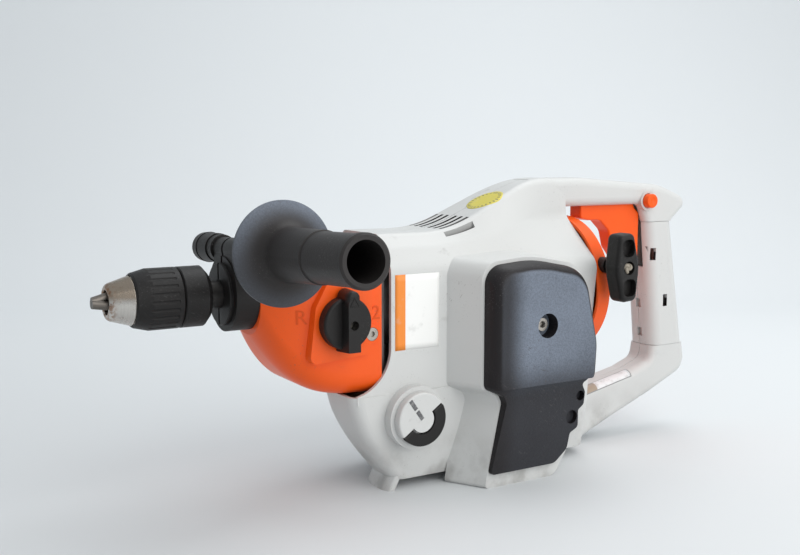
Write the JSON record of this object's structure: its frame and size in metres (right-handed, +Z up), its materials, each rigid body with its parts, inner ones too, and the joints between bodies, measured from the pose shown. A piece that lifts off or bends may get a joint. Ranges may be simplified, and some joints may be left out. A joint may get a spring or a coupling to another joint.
{
  "type": "petrol drill",
  "caption": "Hand-held petrol drill with a keyless chuck, a gearbox with a selector knob, a side handle, an engine in a moulded housing with a recoil starter and a closed rear handle.",
  "frame": {"origin": "on the drill axis at the front face of the chuck nose", "axes": "+X runs from the chuck to the rear handle, +Z is up, -Y is the side with the air filter and the fuel cap"},
  "size_m": [0.5438, 0.262, 0.234],
  "materials": {
    "white_plastic": "satin moulded, worn",
    "orange_casting": "satin painted casting",
    "orange_plastic": "satin moulded",
    "black_plastic": "fine grained moulded",
    "grey_cover_plastic": "fine grained moulded, scuffed",
    "tank_plastic": "translucent moulded",
    "grip_rubber": "worn matt",
    "steel": "machined",
    "dark_steel": "oil blackened",
    "cast_aluminium": "as cast",
    "iron": "machined rim",
    "sheet_black": "heat-proof black",
    "filter_felt": "pleated felt",
    "rope_fibre": "braided"
  },
  "bodies": {
    "housing": {"shaft_bearings": "steel", "neck_cap": "black_plastic", "gear_housing": "orange_casting", "gear_housing_screws": "steel", "bearing_plate": "cast_aluminium", "idler_pin": "steel", "clutch_housing": "cast_aluminium", "crankcase": "cast_aluminium", "cylinder": "cast_aluminium", "spark_plug": "steel", "spark_plug_boot": "grip_rubber", "ignition_module": "black_plastic", "carburettor": "cast_aluminium", "air_filter": "filter_felt", "filter_cover": "grey_cover_plastic", "filter_cover_screw": "steel", "muffler": "sheet_black", "muffler_guard": "sheet_black", "housing_left": "white_plastic", "housing_right": "white_plastic", "housing_screws": "steel", "rear_grip_left": "white_plastic", "rear_grip_right": "white_plastic", "trigger_pin": "steel", "fuel_tank": "tank_plastic", "starter_cover": "orange_plastic", "recoil_spring": "dark_steel", "rope_guide": "black_plastic", "starter_rope": "rope_fibre"},
    "spindle": {"spindle": "steel", "chuck_body": "steel", "chuck_rear_sleeve": "black_plastic"},
    "chuck_sleeve": {"chuck_front_sleeve": "black_plastic", "chuck_nut": "steel"},
    "jaw_1": {"chuck_jaw_1": "steel"},
    "jaw_2": {"chuck_jaw_2": "steel"},
    "jaw_3": {"chuck_jaw_3": "steel"},
    "sliding_gear": {"sliding_gear": "steel"},
    "countershaft": {"countershaft": "steel"},
    "reverse_idler": {"reverse_idler": "steel"},
    "input_shaft": {"input_shaft": "steel", "clutch_drum": "steel"},
    "crank": {"crankshaft": "steel", "clutch_carrier": "steel", "clutch_shoes": "iron", "flywheel": "iron"},
    "handle_clamp": {"handle_clamp": "black_plastic", "clamp_bolt": "steel", "clamp_knob": "black_plastic"},
    "side_handle": {"side_handle": "grip_rubber"},
    "selector": {"selector_knob": "black_plastic", "selector_screw": "steel", "selector_shaft": "steel"},
    "shift_fork": {"shift_fork": "dark_steel"},
    "trigger": {"throttle_trigger": "orange_plastic"},
    "lock_button": {"throttle_lock_button": "orange_plastic"},
    "fuel_cap": {"fuel_cap": "white_plastic"},
    "cap_bail": {"fuel_cap_bail": "black_plastic"},
    "starter_grip": {"starter_grip": "black_plastic"},
    "starter_pulley": {"starter_pulley": "black_plastic"}
  },
  "joints": [
    {"name": "spindle_spin", "type": "hinge", "parent": "housing", "child": "spindle", "pos_m": [0, 0, 0], "axis": [1, 0, 0], "continuous": true},
    {"name": "counter_spin", "type": "hinge", "parent": "housing", "child": "countershaft", "pos_m": [0, 0, -0.0375], "axis": [1, 0, 0], "continuous": true},
    {"name": "idler_spin", "type": "hinge", "parent": "housing", "child": "reverse_idler", "pos_m": [0, 0.01773, -0.03375], "axis": [1, 0, 0], "continuous": true},
    {"name": "input_spin", "type": "hinge", "parent": "housing", "child": "input_shaft", "pos_m": [0, 0, -0.0125], "axis": [1, 0, 0], "continuous": true},
    {"name": "crank_spin", "type": "hinge", "parent": "housing", "child": "crank", "pos_m": [0, 0, -0.0125], "axis": [1, 0, 0], "continuous": true},
    {"name": "chuck_sleeve_turn", "type": "hinge", "parent": "spindle", "child": "chuck_sleeve", "pos_m": [0, 0, 0], "axis": [-1, 0, 0], "range_deg": [0, 2520]},
    {"name": "jaw_1_slide", "type": "slide", "parent": "spindle", "child": "jaw_1", "axis": [0.9659, 0, 0.2588], "range_m": [0, 0.0252]},
    {"name": "jaw_2_slide", "type": "slide", "parent": "spindle", "child": "jaw_2", "axis": [0.9659, -0.2241, -0.1294], "range_m": [0, 0.0252]},
    {"name": "jaw_3_slide", "type": "slide", "parent": "spindle", "child": "jaw_3", "axis": [0.9659, 0.2241, -0.1294], "range_m": [0, 0.0252]},
    {"name": "selector_turn", "type": "hinge", "parent": "housing", "child": "selector", "pos_m": [0.1505, 0, -0.02], "axis": [0, 1, 0], "range_deg": [-72.96, 72.96]},
    {"name": "fork_slide", "type": "slide", "parent": "housing", "child": "shift_fork", "axis": [1, 0, 0], "range_m": [-0.0106, 0.0106]},
    {"name": "gear_shift", "type": "slide", "parent": "spindle", "child": "sliding_gear", "axis": [1, 0, 0], "range_m": [-0.0105, 0.0105]},
    {"name": "side_handle_swing", "type": "hinge", "parent": "housing", "child": "handle_clamp", "pos_m": [0.08765, 0, 0], "axis": [1, 0, 0], "continuous": true},
    {"name": "side_handle_unscrew", "type": "hinge", "parent": "handle_clamp", "child": "side_handle", "pos_m": [0.08765, 0.00143, 0.03157], "axis": [0, -0.999, 0.0454], "range_deg": [0, 720]},
    {"name": "trigger_pull", "type": "hinge", "parent": "housing", "child": "trigger", "pos_m": [0.411, 0, 0.06], "axis": [0, -1, 0], "range_deg": [0, 9], "stiffness_Nm_per_rad": 1.2, "springref_deg": -17.19},
    {"name": "lock_button_press", "type": "slide", "parent": "housing", "child": "lock_button", "axis": [0, 1, 0], "range_m": [0, 0.003], "stiffness_N_per_m": 800, "springref_m": -0.003},
    {"name": "fuel_cap_turn", "type": "hinge", "parent": "housing", "child": "fuel_cap", "pos_m": [0.209, -0.058, -0.096], "axis": [0, -1, 0], "range_deg": [0, 120]},
    {"name": "cap_bail_flip", "type": "hinge", "parent": "fuel_cap", "child": "cap_bail", "pos_m": [0.21038, -0.0608, -0.09797], "axis": [-0.8192, 0, -0.5736], "range_deg": [0, 90]},
    {"name": "starter_pull", "type": "slide", "parent": "housing", "child": "starter_grip", "axis": [0, -1, 0], "range_m": [0, 0.8], "stiffness_N_per_m": 10, "springref_m": -1, "deforming": ["starter_rope"]},
    {"name": "starter_pulley_spin", "type": "hinge", "parent": "housing", "child": "starter_pulley", "pos_m": [0.389, 0, -0.0125], "axis": [1, 0, 0], "range_deg": [0, 2190]}
  ],
  "couplings": [
    {"joint": "counter_spin", "follows": "spindle_spin", "ratio": -3.2857},
    {"joint": "idler_spin", "follows": "spindle_spin", "ratio": 3.0667},
    {"joint": "input_spin", "follows": "spindle_spin", "ratio": 9.8571},
    {"joint": "jaw_1_slide", "follows": "chuck_sleeve_turn", "m_per_rad": 0.000571},
    {"joint": "jaw_2_slide", "follows": "chuck_sleeve_turn", "m_per_rad": 0.000571},
    {"joint": "jaw_3_slide", "follows": "chuck_sleeve_turn", "m_per_rad": 0.000571},
    {"joint": "fork_slide", "follows": "gear_shift", "ratio": 1},
    {"joint": "selector_turn", "follows": "gear_shift", "rad_per_m": 120.77},
    {"joint": "starter_pulley_spin", "follows": "starter_pull", "rad_per_m": 47.619}
  ]
}
